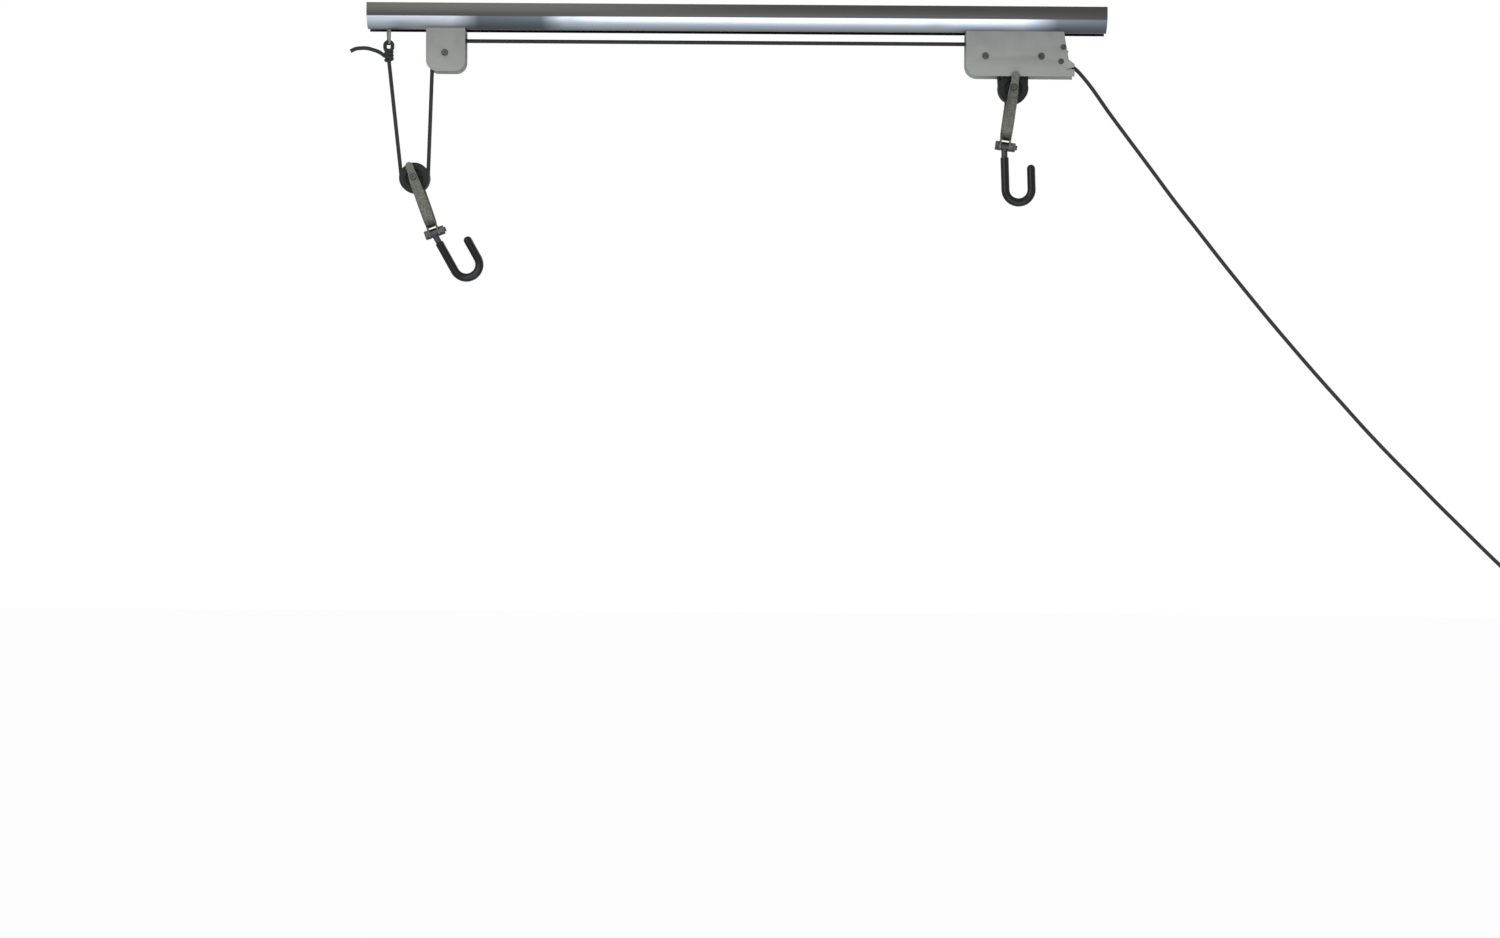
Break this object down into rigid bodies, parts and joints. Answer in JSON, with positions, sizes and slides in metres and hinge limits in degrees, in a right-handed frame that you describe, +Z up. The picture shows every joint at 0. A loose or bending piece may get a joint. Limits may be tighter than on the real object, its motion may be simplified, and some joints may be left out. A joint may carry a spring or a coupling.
{
  "type": "bicycle ceiling hoist",
  "caption": "Ceiling hoist: slotted rail, two pulley brackets, a rope lock and two hook blocks hanging in one rope that ends on a wall cleat.",
  "frame": {"origin": "centre of the rail's top face, midway between the two ceiling screw holes", "axes": "+X along the rail towards the rope lock, +Z up into the ceiling, +Y away from the picture's viewer"},
  "size_m": [1.5441, 0.05, 0.836],
  "materials": {
    "anodised_aluminium": "satin anodised",
    "grey_casting": "grey powder coat",
    "zinc_fasteners": "zinc plated",
    "zinc_strap": "dull zinc plate",
    "rivet_steel": "plain steel",
    "black_nylon": "moulded nylon",
    "dark_steel": "oiled steel",
    "black_vinyl": "dipped vinyl",
    "black_rope": "braided",
    "grey_cleat": "moulded nylon"
  },
  "bodies": {
    "root": {"rail": "anodised_aluminium", "rear_bracket": "grey_casting", "rear_bracket_bolts": "zinc_fasteners", "rear_bracket_nuts": "zinc_fasteners", "lock_bracket": "grey_casting", "lock_bracket_bolts": "zinc_fasteners", "lock_bracket_nuts": "zinc_fasteners", "rope_anchor": "zinc_strap", "rear_bracket_axle": "rivet_steel", "entry_axle_rivet": "rivet_steel", "exit_axle_rivet": "rivet_steel", "cam_pin": "rivet_steel", "lock_anvil": "rivet_steel", "anvil_pin": "rivet_steel", "rope_knot": "black_rope", "rope_tail": "black_rope", "rear_fall_a": "black_rope", "rear_fall_b": "black_rope", "top_run": "black_rope", "front_fall_a": "black_rope", "front_fall_b": "black_rope", "lock_run": "black_rope", "haul_line": "black_rope", "cleat_turns": "black_rope", "wall_cleat": "grey_cleat"},
    "rear_sheave": {"rear_bracket_pulley": "black_nylon"},
    "entry_sheave": {"entry_pulley": "black_nylon"},
    "exit_sheave": {"exit_pulley": "black_nylon"},
    "cam": {"lock_cam": "dark_steel"},
    "rear_carriage": {"rear_block_axle": "rivet_steel", "rear_block_spacers": "rivet_steel", "rear_bight": "black_rope"},
    "rear_block_sheave": {"rear_block_pulley": "black_nylon"},
    "rear_stirrup_body": {"rear_stirrup": "zinc_strap", "rear_hook_bolt": "zinc_fasteners", "rear_hook_nut": "zinc_fasteners"},
    "rear_hook_body": {"rear_hook": "dark_steel", "rear_hook_sleeve": "black_vinyl"},
    "front_carriage": {"front_block_axle": "rivet_steel", "front_block_spacers": "rivet_steel", "front_bight": "black_rope"},
    "front_block_sheave": {"front_block_pulley": "black_nylon"},
    "front_stirrup_body": {"front_stirrup": "zinc_strap", "front_hook_bolt": "zinc_fasteners", "front_hook_nut": "zinc_fasteners"},
    "front_hook_body": {"front_hook": "dark_steel", "front_hook_sleeve": "black_vinyl"}
  },
  "joints": [
    {"name": "rear_lift", "type": "slide", "parent": "root", "child": "rear_carriage", "axis": [0, 0, 1], "range_m": [-1.8, 0], "deforming": ["rear_fall_a", "rear_fall_b"]},
    {"name": "front_lift", "type": "slide", "parent": "root", "child": "front_carriage", "axis": [0, 0, 1], "range_m": [-1.8, 0], "deforming": ["front_fall_a", "front_fall_b"]},
    {"name": "rear_sheave_spin", "type": "hinge", "parent": "root", "child": "rear_sheave", "pos_m": [-0.3735, 0, -0.062], "axis": [0, 1, 0], "continuous": true},
    {"name": "entry_sheave_spin", "type": "hinge", "parent": "root", "child": "entry_sheave", "pos_m": [0.318, 0, -0.062], "axis": [0, 1, 0], "continuous": true},
    {"name": "exit_sheave_spin", "type": "hinge", "parent": "root", "child": "exit_sheave", "pos_m": [0.3895, 0, -0.062], "axis": [0, 1, 0], "continuous": true},
    {"name": "rear_block_spin", "type": "hinge", "parent": "rear_carriage", "child": "rear_block_sheave", "pos_m": [-0.4125, 0, -0.2215], "axis": [0, 1, 0], "continuous": true},
    {"name": "front_block_spin", "type": "hinge", "parent": "front_carriage", "child": "front_block_sheave", "pos_m": [0.3545, 0, -0.102], "axis": [0, 1, 0], "continuous": true},
    {"name": "rear_swing", "type": "hinge", "parent": "rear_carriage", "child": "rear_stirrup_body", "pos_m": [-0.4125, 0, -0.2215], "axis": [0, 1, 0], "range_deg": [-30, 90]},
    {"name": "rear_hook_swing", "type": "hinge", "parent": "rear_stirrup_body", "child": "rear_hook_body", "pos_m": [-0.38726, 0, -0.2916], "axis": [0.9409, 0, 0.3387], "range_deg": [-25, 25]},
    {"name": "front_swing", "type": "hinge", "parent": "front_carriage", "child": "front_stirrup_body", "pos_m": [0.3545, 0, -0.102], "axis": [0, 1, 0], "range_deg": [-35, 60]},
    {"name": "front_hook_swing", "type": "hinge", "parent": "front_stirrup_body", "child": "front_hook_body", "pos_m": [0.34452, 0, -0.17583], "axis": [0.991, 0, -0.134], "range_deg": [-25, 25]},
    {"name": "cam_turn", "type": "hinge", "parent": "root", "child": "cam", "pos_m": [0.4175, 0, -0.05], "axis": [0, -1, 0], "range_deg": [0, 50]}
  ],
  "couplings": [
    {"joint": "front_lift", "follows": "rear_lift", "ratio": 1},
    {"joint": "rear_sheave_spin", "follows": "rear_lift", "rad_per_m": 117.65},
    {"joint": "entry_sheave_spin", "follows": "rear_lift", "rad_per_m": 117.65},
    {"joint": "exit_sheave_spin", "follows": "rear_lift", "rad_per_m": 235.29},
    {"joint": "rear_block_spin", "follows": "rear_lift", "rad_per_m": -58.824},
    {"joint": "front_block_spin", "follows": "rear_lift", "rad_per_m": -176.47}
  ]
}
